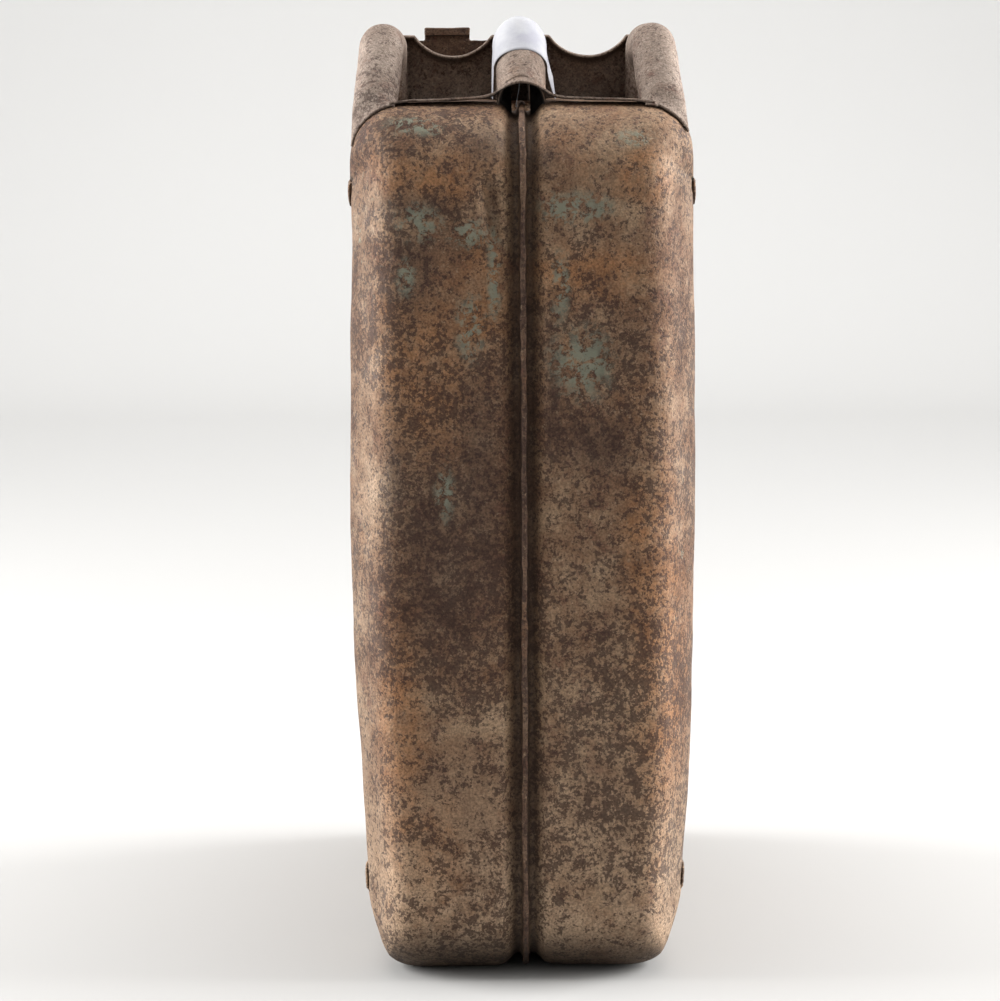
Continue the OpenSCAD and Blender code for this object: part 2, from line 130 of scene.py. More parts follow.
def grid_faces(rows, cols, close_rows=False, close_cols=False, flip=False, keep=None):
    """Faces of a grid of points, row by row; keep is a mask over the faces."""
    r = np.arange(rows if close_rows else rows - 1)
    c = np.arange(cols if close_cols else cols - 1)
    rr, cc = np.meshgrid(r, c, indexing="ij")
    r2, c2 = (rr + 1) % rows, (cc + 1) % cols
    f = np.stack([rr * cols + cc, rr * cols + c2, r2 * cols + c2, r2 * cols + cc], -1)
    if flip:
        f = f[..., ::-1]
    f = f.reshape(-1, 4)
    if keep is not None:
        f = f[keep.reshape(-1)]
    return f


def compact(verts, faces):
    """Drops the points that no face uses."""
    used = np.unique(faces)
    index = np.full(len(verts), -1)
    index[used] = np.arange(len(used))
    return verts[used], index[faces]


def thicken(obj, mm, offset=-1.0):
    """Gives a sheet its thickness: inwards at offset -1, to both sides at 0."""
    mod = obj.modifiers.new("sheet", "SOLIDIFY")
    mod.thickness = mm * MM
    mod.offset = offset
    mod.use_even_offset = False


# ---------------------------------------------------------------- the can's outline
# The top slopes down to the spout end, 7 in 24.
SLOPE_L = 144.0
DROP = SLOPE_L * 7 / 24
SLOPE_COS, SLOPE_SIN = 0.96, 0.28
OUTLINE = np.array(
    [[0, 0], [BODY_L, 0], [BODY_L, BODY_H - DROP], [BODY_L - SLOPE_L, BODY_H], [0, BODY_H]], float)
RADII = [38.0, 38.0, 38.0, 56.0, 38.0]
CENTRE = np.array([HALF_L, 205.0])
# Where the neck stands on the slope.
NECK_RUN, NECK_D = 76.0, 58.0
SPOUT = np.array([BODY_L - SLOPE_L - HALF_L + SLOPE_COS * NECK_RUN, BODY_H - SLOPE_SIN * NECK_RUN])


def from_spout(p):
    """How far points lie from the neck's foot, along the slope and square to it."""
    y, z = p[:, 1] - SPOUT[0], p[:, 2] - SPOUT[1]
    return y * SLOPE_COS - z * SLOPE_SIN, y * SLOPE_SIN + z * SLOPE_COS


def outline_stations(step, rear_step):
    """Points and outward normals round the outline, counterclockwise seen from +X."""
    n = len(OUTLINE)
    pts, nrm = [], []
    ways = [(OUTLINE[(i + 1) % n] - OUTLINE[i]) for i in range(n)]
    ways = [w / np.linalg.norm(w) for w in ways]
    outs = [np.array([w[1], -w[0]]) for w in ways]
    reach = []
    for i in range(n):
        a, b = ways[i - 1], ways[i]
        turn = math.acos(np.clip(a @ b, -1, 1))
        reach.append(RADII[i] * math.tan(turn / 2))
    for i in range(n):
        j = (i + 1) % n
        a0 = math.atan2(outs[i - 1][1], outs[i - 1][0])
        a1 = math.atan2(outs[i][1], outs[i][0])
        while a1 < a0:
            a1 += 2 * math.pi
        mid = OUTLINE[i] - ways[i - 1] * reach[i] - outs[i - 1] * RADII[i]
        k = max(4, int(math.ceil(RADII[i] * (a1 - a0) / 2.2)))
        for t in np.linspace(a0, a1, k, endpoint=False):
            d = np.array([math.cos(t), math.sin(t)])
            pts.append(mid + d * RADII[i])
            nrm.append(d)
        # the straight stretch from corner i to the next
        start = OUTLINE[i] + ways[i] * reach[i]
        end = OUTLINE[j] - ways[i] * reach[j]
        s = rear_step if i == n - 1 else step
        k = int(math.ceil(np.linalg.norm(end - start) / s))
        for t in np.linspace(0, 1, k, endpoint=False):
            pts.append(start + (end - start) * t)
            nrm.append(outs[i])
    return np.array(pts), np.array(nrm)


# Section of a half shell: (distance from the seam plane, depth below the narrow faces). The groove is the
# same all round; the edge is flatter on the ends, rounder on top and longer underneath.
GROOVE = [
    [0.15, 1.5], [0.4, 0.9], [0.8, 1.0], [1.1, 1.6], [1.35, 2.8], [1.65, 4.4], [2.2, 5.8], [3.1, 6.4],
    [4.2, 6.3], [5.3, 5.7], [6.2, 4.9], [7.1, 3.9], [8.1, 2.8], [9.2, 1.85], [10.4, 1.1], [11.8, 0.55],
    [13.6, 0.2], [17, 0.02], [22, 0.0], [30, 0.0], [38, 0.0], [46, 0.02], [52, 0.1]]
EDGES = {
    "flat": [[56, 0.4], [59.5, 0.9], [62.5, 1.9], [65.2, 3.4], [67.6, 5.4], [69.6, 7.8], [71.4, 10.6],
             [73.4, 14.6], [75.2, 19], [77.6, 24], [79.7, 29], [81.4, 34], [82.5, 39], [HALF_W, 45]],
    "round": [[57, 0.15], [60.5, 0.3], [64, 0.7], [68, 1.8], [71.7, 3.7], [75.1, 6.2], [77.7, 8.9],
              [79.8, 12], [81.3, 15], [82.3, 18.4], [82.8, 22], [HALF_W, 27], [HALF_W, 34], [HALF_W, 43]],
    "long": [[57, 0.3], [61, 1.0], [64.5, 1.9], [68, 3.2], [71, 5], [73.2, 8], [75, 11.5], [76.4, 15],
             [78, 19.5], [79.4, 24], [80.8, 29], [82, 34], [82.8, 40], [HALF_W, 46]]}
EDGE_POINTS = 26


def resample(poly, step):
    """The same line with points about step apart."""
    seg = np.linalg.norm(np.diff(poly, axis=0), axis=1)
    pos = np.concatenate([[0], np.cumsum(seg)])
    out = []
    for i in range(len(seg)):
        k = max(1, int(round(seg[i] / step)))
        out += [poly[i] + (poly[i + 1] - poly[i]) * t / k for t in range(k)]
    return np.array(out + [poly[-1]])


# How wide the worn can is at each height, as a share of its nominal width.
WIDTH_Z = np.array([0, 20, 43, 62, 82, 130, 180, 245, 330, 400, 427.0])
WIDTH_F = np.array([0.938, 0.938, 0.941, 0.957, 0.975, 1.006, 1.019, 1.03, 1.019, 0.999, 0.99])


# The pressed frame lies between these insets from the outline, with rounded corners.
FRAME_OUT, FRAME_IN, FRAME_R = 40.0, 54.0, 22.0
PRESS_DEPTH = 5.2
PANEL_SINK = 1.5


def pressed(y, z):
    """Depth of the pressed frame and cross at a place on the large face."""
    slope = (BODY_L - y) * SLOPE_SIN + (BODY_H - DROP - z) * SLOPE_COS
    side = np.minimum(y, BODY_L - y)
    level = np.minimum(z, np.minimum(BODY_H - z, slope))
    reach = FRAME_OUT + FRAME_R
    gap_y, gap_z = np.maximum(reach - side, 0), np.maximum(reach - level, 0)
    rounded = (gap_y > 0) & (gap_z > 0)
    inset = np.where(rounded, reach - np.hypot(gap_y, gap_z), np.minimum(side, level))
    ring = smooth(FRAME_OUT - 0.5, FRAME_OUT + 3.6, inset)
    ring = ring * (1 - smooth(FRAME_IN - 3.6, FRAME_IN + 0.5, inset))
    low = np.array([FRAME_IN, FRAME_IN])
    high = np.array([BODY_L - FRAME_IN, BODY_H - DROP - FRAME_IN / 2])
    mid = (low + high) / 2
    lean = math.atan2(high[1] - low[1], high[0] - low[0])
    cross = 0.0
    for sign in (-1, 1):
        a = sign * lean
        off = np.abs(-(y - mid[0]) * math.sin(a) + (z - mid[1]) * math.cos(a))
        cross = np.maximum(cross, 1 - smooth(5.0, 9.6, off))
    cross = cross * smooth(FRAME_IN - 9, FRAME_IN - 4, inset)
    return PRESS_DEPTH * np.maximum(ring, cross)


def edge_sections():
    """The groove and each kind of edge as one line, all with the same number of points."""
    head = len(resample(np.array(GROOVE), 2.0))
    grown = np.linspace(0, 1, EDGE_POINTS)
    out = {}
    for kind, edge in EDGES.items():
        line = resample(np.array(GROOVE + edge), 2.0)
        own = np.linspace(0, 1, len(line) - head)
        tail = np.stack([np.interp(grown, own, line[head:, c]) for c in (0, 1)], -1)
        out[kind] = np.concatenate([line[:head], tail])
    return out


def shell_verts(side, seed):
    """Grid of a half shell's points, and how deep in the pressed pattern each lies."""
    noise = Noise(seed)
    pts, nrm = outline_stations(3.2, 2.0)
    secs = edge_sections()
    up = smooth(0.25, 0.9, nrm[:, 1])[:, None]
    down = smooth(0.25, 0.9, -nrm[:, 1])[:, None]
    n = len(pts)
    x0, s0 = (secs["flat"][:, c] * (1 - up - down) + secs["round"][:, c] * up + secs["long"][:, c] * down
              for c in (0, 1))
    # beyond the edge, lines run in to a centre on the large face
    inner = 84
    yz = pts[:, None, :] - nrm[:, None, :] * s0[:, :, None]
    base = pts - nrm * s0[:, -1:]
    to = CENTRE - base
    k = np.arange(1, inner + 1) / inner
    yz_in = base[:, None, :] + to[:, None, :] * k[None, :, None]
    x_in = np.full((n, inner), HALF_W)
    yz_all = np.concatenate([yz, yz_in], 1)
    x_all = np.concatenate([x0, x_in], 1)
    y, z = yz_all[..., 0], yz_all[..., 1]
    # bulge of the large faces, and a narrower bottom
    width = np.interp(z, WIDTH_Z, WIDTH_F)
    weight = smooth(30, 80, x_all)
    x_all = x_all * (1 + (width - 1) * weight)
    flat = smooth(74, 80, x_all / np.maximum(width, 0.9))
    # the panel inside the frame stands a little lower than the rim round it
    inset = np.minimum.reduce([y, BODY_L - y, z, BODY_H - z])
    x_all = x_all - (pressed(y, z) + PANEL_SINK * smooth(38, 52, inset)) * flat
    p = np.stack([x_all * side, y - HALF_L, z], -1)
    # normals for pushing the surface in and out
    du = np.roll(p, -1, 0) - np.roll(p, 1, 0)
    dv = np.gradient(p, axis=1)
    nn = np.cross(dv, du)
    nn /= np.maximum(np.linalg.norm(nn, axis=-1, keepdims=True), 1e-9)
    out = np.stack([np.ones_like(y) * side, np.zeros_like(y), np.zeros_like(y)], -1)
    radial = np.concatenate([np.zeros((n, 1)), nrm], 1)[:, None, :]
    turned = smooth(60, 80, np.abs(p[..., :1]))
    ref = out * turned + radial * (1 - turned)
    nn *= np.sign((nn * ref).sum(-1, keepdims=True) + 1e-9)
    away = smooth(6, 12, np.abs(p[..., 0]))
    push = away * (0.9 * noise(p, 95) + 0.55 * noise(p + 31, 42) + 0.28 * noise(p + 7, 19))
    push += (0.3 + 0.7 * away) * (0.11 * noise(p + 3, 8) + 0.06 * noise(p + 3, 4.2))
    push *= 1 - 0.75 * smooth(76, 82, np.abs(p[..., 0])) * (pressed(y, z) > 0.3)
    for dx, dy, dz, r, depth in DENTS:
        if dx * side < -8:
            continue
        d = np.sqrt(sum(((p[..., c] - at_c) / r[c]) ** 2 for c, at_c in enumerate((dx, dy, dz))))
        push -= depth * np.exp(-d ** 2)
    p = p + nn * push[..., None]
    # the crease left of the groove
    if side < 0:
        rear = (p[..., 1] < -HALF_L + 14)
        line = (p[..., 0] + 13.2) - (367.0 - p[..., 2]) * 0.144
        along = smooth(357, 368, p[..., 2]) * (1 - smooth(384, 394, p[..., 2]))
        p[..., 1] += np.where(rear, along * (4.6 * hump(line, 0, 3.6) - 1.6 * hump(line, -7.5, 4.5)), 0)
    # no part of the can goes under the ground it stands on
    p[..., 2] = np.maximum(p[..., 2], 0.0)
    return p, np.clip(pressed(y, z) / PRESS_DEPTH, 0, 1) * flat


# Each dent: its middle, its reach along x, y and z, and its depth (less than 0 is a bulge).
DENTS = [
    (-12, -172, 332, (9, 30, 22), 1.0),
    (30, -172, 300, (22, 30, 34), 0.8),
    (-38, -172, 250, (24, 30, 40), 0.9),
    (36, -172, 120, (26, 30, 50), -0.6),
    (-30, -172, 90, (26, 30, 40), 0.7),
    (-50, -165, 395, (16, 20, 14), 0.9),
    (52, -165, 380, (14, 20, 20), 0.7),
    (84, -60, 150, (10, 60, 70), 1.6),
    (-84, 20, 210, (10, 70, 60), 1.4),
    (84, 80, 300, (10, 50, 50), 1.2),
    (20, 172, 200, (26, 20, 45), 1.6),
    (-30, 172, 120, (26, 20, 35), 1.2),
]


# Half the flange's length along the slope, and how far above and below the slope a cut reaches.
FLANGE_REACH, SPOUT_REACH = 38, 30


def make_shell(name, side, seed, material):
    """A half shell, with the hole under the neck left out."""
    p, hollow = shell_verts(side, seed)
    rows, cols = p.shape[:2]
    flat = p.reshape(-1, 3)
    faces = grid_faces(rows, cols, close_rows=True, flip=side > 0)
    mid = flat[faces].mean(1)
    along, above = from_spout(mid)
    under_neck = (np.hypot(mid[:, 0], along) < NECK_D / 2 - 1) & (np.abs(above) < SPOUT_REACH)
    faces = faces[~under_neck]
    used = np.unique(faces)
    verts, faces = compact(flat, faces)
    obj = make_mesh(name, verts, faces, (name.replace("_sheet", ""),), material)
    layer = obj.data.attributes.new("hollow", "FLOAT", "POINT")
    layer.data.foreach_set("value", hollow.reshape(-1)[used].astype(np.float32))
    thicken(obj, 1.0)
    return obj


# ---------------------------------------------------------------- seam weld
def make_weld(material):
    """The lumpy bead round the seam, left out under the spout's flange."""
    noise = Noise(77)
    pts, nrm = outline_stations(1.6, 1.2)
    n = len(pts)
    ang = np.linspace(0, 2 * np.pi, 10, endpoint=False)
    along = np.concatenate([pts - HALF_L * np.array([1, 0]), np.zeros((n, 1))], 1)
    wob = 0.42 * noise(along, 26) + 0.28 * noise(along + 9, 7)
    wide = 1.3 + 0.35 * noise(along + 50, 9) + 0.35 * noise(along + 5, 3.4)
    high = 0.95 + 0.35 * noise(along + 21, 6) + 0.35 * noise(along + 77, 2.6)
    sink = 1.15 + 0.35 * noise(along + 13, 15)
    x = wob[:, None] + wide[:, None] * np.cos(ang)
    s = sink[:, None] - high[:, None] * np.sin(ang) * np.where(np.sin(ang) > 0, 1, 1.6)
    yz = pts[:, None, :] - nrm[:, None, :] * s[..., None]
    p = np.stack([x, yz[..., 0] - HALF_L, np.maximum(yz[..., 1], 0)], -1)
    flat = p.reshape(-1, 3)
    faces = grid_faces(n, len(ang), close_rows=True, close_cols=True)
    along, above = from_spout(flat[faces].mean(1))
    keep = ~((np.abs(along) < FLANGE_REACH) & (np.abs(above) < SPOUT_REACH))
    verts, faces = compact(flat, faces[keep])
    return make_mesh("seam_bead", verts, faces, ("seam_weld",), material)


# ---------------------------------------------------------------- handle
BAR_PITCH = 69.0
BAR_TOP = 464.6
# Along the can: where the bars end, the round of their bend, the wall, the strip and the bars' own start.
BAR_END, BAR_BEND = 142.0, 15.0
WALL_Y = 147.5
STRIP_Y0, STRIP_Y1 = 25.5, 36.0
NEAR_Y = 26.5
# Each bar: its axis at the plain end and beyond the knee, its crown's height at NEAR_Y, slope, radius.
BARS = {"left": (-72.4, -68.8, 427.0, 0.84, 10.3), "mid": (0.0, -1.0, 436.0, 0.77, 11.2),
        "right": (70.6, 64.6, 427.0, 0.84, 10.3)}
BAR_POINTS = 44


def smin(a, b, k):
    """The lower of two heights, with the meeting rounded over k."""
    h = np.clip(0.5 + 0.5 * (b - a) / k, 0, 1)
    return b * (1 - h) + a * h - k * h * (1 - h)


def smax(a, b, k):
    return -smin(-np.asarray(a, float), -np.asarray(b, float), k)


def top_surface(x, y):
    """Height of the can's top and shoulders at the plain end."""
    d = np.clip(np.abs(x) - 59, 0, 23.9)
    s = 24 - np.sqrt(24 ** 2 - d ** 2)
    back = np.clip(38 - y, 0, 37)
    return np.where(back > 0, 389 + np.sqrt(np.maximum((38 - s) ** 2 - back ** 2, 4)), BODY_H - s)


def crown_line(bar, y):
    """Height and half height of a bar's section at a place along the can."""
    low, slope, radius = BARS[bar][2:]
    z, ahead, behind = (smin(low + slope * (at_y - NEAR_Y), BAR_TOP, 9.0) for at_y in (y, y + 0.5, y - 0.5))
    return z, radius * np.sqrt(1 + (ahead - behind) ** 2)


def bar_axis_x(bar, y):
    near, far = BARS[bar][:2]
    return near + (far - near) * smooth(NEAR_Y - 25, 92, y)


def handle_front():
    """The strip at the plain end between the outer bars, with the arch under the middle bar."""
    noise = Noise(5)
    xs = np.linspace(-64, 64, 240)
    vs = np.linspace(0, 1, 30)
    first = STRIP_Y0 + 0.5 * noise(np.stack([xs, xs * 0, xs * 0], -1), 17)
    y = first[None, :] + (50.0 - first)[None, :] * vs[:, None]
    x = np.broadcast_to(xs, y.shape).copy()
    ax = np.abs(x)
    strip = BODY_H + 0.7 + 2.3 * np.exp(-(x / 34) ** 2) * (1 - smooth(30, 48, y)) - 0.9 * smooth(52, 64, ax)
    arch = 6.2 * np.exp(-np.abs(x / 12.0) ** 2.8)
    crown, half = crown_line("mid", y)
    r = BARS["mid"][4]
    bow = crown - half + half * np.sqrt(np.clip(1 - (x / r) ** 2, 0, 1))
    bow = np.where(ax < r, bow, strip - 30)
    z = smax(strip + arch, bow, 2.2)
    p = np.stack([x, y - HALF_L, z], -1)
    p[..., 2] += 0.22 * noise(p, 9) + 0.1 * noise(p + 4, 4)
    mid_x, mid_y = ((a[:-1, :-1] + a[1:, 1:]) / 2 for a in (x, y))
    keep = (mid_y < STRIP_Y1) | (np.abs(mid_x) < r - 0.2)
    return compact(p.reshape(-1, 3), grid_faces(*y.shape, keep=keep))


def bar_tube(bar, seed):
    """A bar open underneath: up from the plain end, along, and down to the top of the can."""
    noise = Noise(seed)
    radius = BARS[bar][4]
    half = math.radians(154)
    ang = np.linspace(-half, half, BAR_POINTS)
    edge = np.zeros(BAR_POINTS)
    start = NEAR_Y - 1
    if bar == "mid":
        start = 30.0
    else:
        edge = 0.8 * noise(np.stack([ang * 20, ang * 0, ang * 0], -1), 9)
    ys = np.concatenate([np.linspace(start, 100, 52), np.linspace(100, BAR_END - BAR_BEND, 8)[1:]])
    rows = []
    for y in ys:
        fade = np.clip(1 - (y - start) / 20, 0, 1)
        yy = y + edge * fade
        crown, h = crown_line(bar, yy)
        ax = bar_axis_x(bar, yy)
        x = ax + radius * np.sin(ang)
        z = crown - h + h * np.cos(ang)
        if bar != "mid":
            rest = top_surface(x, yy) + 1.0
            z = smax(z, rest, 1.2)
            z = z + (np.maximum(rest, z - 14) - z) * (1 - smooth(0, 11, yy - start))
        rows.append(np.stack([x, yy + 0 * x, z], -1))
    xs = BARS[bar][1] + radius * np.sin(ang)
    bend_y, bend_z = BAR_END - BAR_BEND, BAR_TOP - radius - BAR_BEND
    for t in np.linspace(0, 90, 16)[1:]:
        a = math.radians(t)
        r = BAR_BEND + radius * np.cos(ang)
        rows.append(np.stack([xs, bend_y + r * math.sin(a), bend_z + r * math.cos(a)], -1))
    for t in np.linspace(0, 1, 10)[1:]:
        z = bend_z * (1 - t) + (BODY_H - 0.5) * t
        rows.append(np.stack([xs, BAR_END + radius * np.cos(ang), np.full(BAR_POINTS, z)], -1))
    p = np.array(rows)
    p[..., 1] -= HALF_L
    centre = p[:, 21:23].mean(1, keepdims=True) * 0.5 + (p[:, :1] + p[:, -1:]) / 4
    d = p - centre
    d /= np.linalg.norm(d, axis=-1, keepdims=True)
    push = 0.26 * noise(p, 16) + 0.14 * noise(p + 8, 6) + 0.07 * noise(p + 2, 3)
    p = p + d * push[..., None]
    return p.reshape(-1, 3), grid_faces(len(p), BAR_POINTS, flip=True)


# The wall between the bars: its top, the radius of the dips between the bars, and its rolled lip.
WALL_TOP, DIP_R, WALL_LIP = 459.5, 24.0, 6.0


def end_wall():
    """The wall at the spout side, dipped between the bars and rolled over at the top."""
    noise = Noise(15)
    xs = np.linspace(-76, 76, 220)
    ax = np.abs(np.abs(xs) - BAR_PITCH / 2)
    top = BODY_H + 22 + DIP_R - np.sqrt(np.clip(DIP_R * DIP_R - ax ** 2, 0, None))
    top = np.minimum(top, WALL_TOP)
    foot = BODY_H - 0.5
    rows = []
    for t in np.linspace(0, 1, 14):
        rows.append(np.stack([xs, np.full_like(xs, WALL_Y), foot + (top - WALL_LIP - BODY_H + 0.5) * t], -1))
    for a in np.linspace(0.12, 1.0, 12):
        t = a * math.radians(118)
        y, z = WALL_Y - WALL_LIP * (1 - math.cos(t)), top - WALL_LIP + WALL_LIP * math.sin(t)
        rows.append(np.stack([xs, np.full_like(xs, y), z], -1))
    p = np.array(rows)
    p[..., 1] -= HALF_L
    p += 0.22 * noise(p, 10)[..., None] * np.array([0, 1, 0.7])
    return p.reshape(-1, 3), grid_faces(len(rows), len(xs))


def join_parts(parts):
    """One list of points and faces from several."""
    verts, faces, base = [], [], 0
    for v, f in parts:
        verts.append(v)
        faces.append(f + base)
        base += len(v)
    return np.concatenate(verts), np.concatenate(faces)


def make_handle(material):
    parts = [handle_front(), bar_tube("left", 21), bar_tube("mid", 22), bar_tube("right", 23), end_wall()]
    verts, faces = join_parts(parts)
    obj = make_mesh("handle_sheet", verts, faces, ("handle_unit", "handle_welds"), material)
    thicken(obj, 1.2, 0.0)
    return obj


# ---------------------------------------------------------------- catch, tag, spout parts
def rough_box(box):
    """A plain box between two corners, only ever used as the inside of a worn piece."""
    (x0, y0, z0), (x1, y1, z1) = box
    mesh = bpy.data.meshes.new("rough")
    corners = [(x, y, z) for x in (x0, x1) for y in (y0, y1) for z in (z0, z1)]
    mesh.from_pydata([tuple(c * MM for c in q) for q in corners], [],
                     [(0, 1, 3, 2), (4, 6, 7, 5), (0, 4, 5, 1), (2, 3, 7, 6), (0, 2, 6, 4), (1, 5, 7, 3)])
    obj = bpy.data.objects.new("rough", mesh)
    bpy.context.scene.collection.objects.link(obj)
    return obj


def worn(name, sources, body, voxel, relax, rough, material, replaced, seed):
    """One piece from several rough solids: joined, rounded, and its surface eaten by rust."""
    verts, faces, base = [], [], 0
    for src in sources:
        co = np.array([tuple(src.matrix_world @ v.co) for v in src.data.vertices])
        verts.append(co)
        faces += [[i + base for i in p.vertices] for p in src.data.polygons]
        base += len(co)
    mesh = bpy.data.meshes.new(name)
    mesh.from_pydata(np.concatenate(verts).tolist(), [], faces)
    obj = bpy.data.objects.new(name, mesh)
    bpy.context.scene.collection.objects.link(obj)
    skin = obj.modifiers.new("skin", "REMESH")
    skin.mode = "VOXEL"
    skin.voxel_size = voxel * MM
    skin.use_smooth_shade = True
    rounded = obj.modifiers.new("round", "SMOOTH")
    rounded.factor = 0.5
    rounded.iterations = relax
    done = bpy.data.meshes.new_from_object(obj.evaluated_get(bpy.context.evaluated_depsgraph_get()))
    obj.modifiers.clear()
    obj.data = done
    co = np.array([v.co for v in done.vertices])
    no = np.array([v.vector for v in done.vertex_normals])
    noise = Noise(seed)
    push = rough * (noise(co / MM, 7) + 0.6 * noise(co / MM + 5, 3) + 0.35 * noise(co / MM + 9, 1.5))
    done.vertices.foreach_set("co", (co + no * push[:, None] * MM).ravel())
    for poly in done.polygons:
        poly.use_smooth = True
    done.materials.clear()
    done.materials.append(material)
    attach(obj, body)
    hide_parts(*replaced)


def drop(objs):
    """Removes the rough solids that a worn piece was made from."""
    for o in objs:
        data = o.data
        bpy.data.objects.remove(o)
        bpy.data.meshes.remove(data)


def make_catch(material):
    """The bracket behind the left dip, with its folded lip and a tack at one end."""
    w = WALL_Y - HALF_L
    boxes = [((-59.5, w + 0.2, 437), (-15.5, w + 1.9, 457.4)),
             ((-49.1, w + 0.6, 450), (-26.0, w + 2.2, 461.5)),
             ((-49.1, w - 2.6, 460.0), (-26.0, w + 2.2, 463.9)),
             ((-59.3, w - 0.4, 455), (-56.4, w + 1.9, 459.0))]
    parts = [rough_box(box) for box in boxes]
    worn("catch_plate", parts, "can", 0.4, 6, 0.16, material, ("lid_catch",), 61)
    drop(parts)


# The tag lies on the middle bar between these places along the can, this far off the bar.
TAG_Y0, TAG_Y1, TAG_GAP = 46.5, 86, 1.9


def make_tag(material):
    """A loop of paper over the middle bar, with a tail that hangs under it."""
    noise = Noise(88)
    ang = np.radians(np.linspace(-96, 96, 33))
    fall = np.linspace(0, 1, 15)[1:]
    r = BARS["mid"][4] + TAG_GAP
    rows = []
    for y in np.linspace(TAG_Y0, TAG_Y1, 26):
        t = (y - TAG_Y0) / 39.5
        half = crown_line("mid", y)[1]
        loose = 1.0 + 3.0 * smooth(0.25, 0.7, t)
        lean = 1 - smooth(0.5, 1.0, t)
        x = bar_axis_x("mid", y) + r * np.sin(ang)
        # the section is square to the bar, so its sides lie further from the plain end
        yy = y + 0.5 * half * (1 - np.cos(ang)) * lean
        crown, own_half = crown_line("mid", yy)
        over = np.stack([x, yy, crown - own_half + (own_half + loose) * np.cos(ang)], -1)
        (x0, y0, z0), (x1, y1, z1) = over[0], over[-1]
        left = np.stack([x0 - 0.7 * fall, y0 + 3 * fall, z0 - 22 * fall], -1)
        flare = 4.2 * fall ** 1.3 * (1 - 0.6 * t)
        right = np.stack([x1 + flare, y1 + 4 * fall, z1 - 15 * fall * (1 - 0.35 * t)], -1)
        rows.append(np.concatenate([left[::-1], over, right]))
    p = np.array(rows)
    p[..., 1] -= HALF_L
    p[..., 0] += 0.25 * noise(p, 12)
    p[..., 2] += 0.3 * noise(p + 5, 15)
    p[..., 2] = np.maximum(p[..., 2], BODY_H + 1.2)
    ts, us = np.linspace(0, 1, 12), np.linspace(0, 1, 14)
    tail = np.array([[[-1.3 - 0.9 * u + 0.5 * math.sin(5 * u), 37 + 22 * t - HALF_L, 443 - 18.5 * u]
                      for u in us] for t in ts])
    tail[..., 0] += 0.3 * noise(tail, 8)
    loop = (p.reshape(-1, 3), grid_faces(*p.shape[:2], flip=True))
    verts, faces = join_parts([loop, (tail.reshape(-1, 3), grid_faces(len(ts), len(us)))])
    obj = make_mesh("tag_paper_loop", verts, faces, ("paper_tag",), material)
    thicken(obj, 0.22, 0.0)


# Each CAD node of the spout: its body, kind of skin, voxel, rounds of smoothing and roughness.
SPOUT_PARTS = [
    ("neck_tube", "can", "steel", 0.45, 5, 0.08), ("neck_collar", "can", "steel", 0.5, 6, 0.12),
    ("neck_lugs", "can", "steel", 0.45, 5, 0.08), ("hinge_bracket", "can", "steel", 0.42, 4, 0.07),
    ("hinge_pin", "can", "pin", 0.4, 3, 0.02), ("air_pipe", "can", "steel", 0.4, 3, 0.05),
    ("air_pipe_bridge", "can", "steel", 0.4, 3, 0.05), ("lid", "lid", "steel", 0.45, 5, 0.09),
    ("lid_strap", "lid", "steel", 0.42, 5, 0.09), ("lid_ears", "lid", "steel", 0.42, 4, 0.05),
    ("gasket", "lid", "rubber", 0.45, 4, 0.05), ("gasket_retainer", "lid", "steel", 0.4, 3, 0.05),
    ("retainer_rivet", "lid", "pin", 0.35, 3, 0.04), ("lever", "lever", "steel", 0.42, 5, 0.08),
    ("lever_pin", "lever", "pin", 0.4, 3, 0.02)]


def make_spout(steel, pin, rubber):
    """Worn copies of the spout's CAD nodes, each on its own body."""
    skins = {"steel": (steel, "rusted_steel"), "pin": (pin, "rusted_pin"),
             "rubber": (rubber, "gasket_rubber")}
    for i, (node, body, kind, voxel, relax, rough) in enumerate(SPOUT_PARTS):
        material, slot = skins[kind]
        source = bpy.data.objects[node]
        worn(node + "_worn", [source], body, voxel, relax, rough, material, (node,), 100 + i)


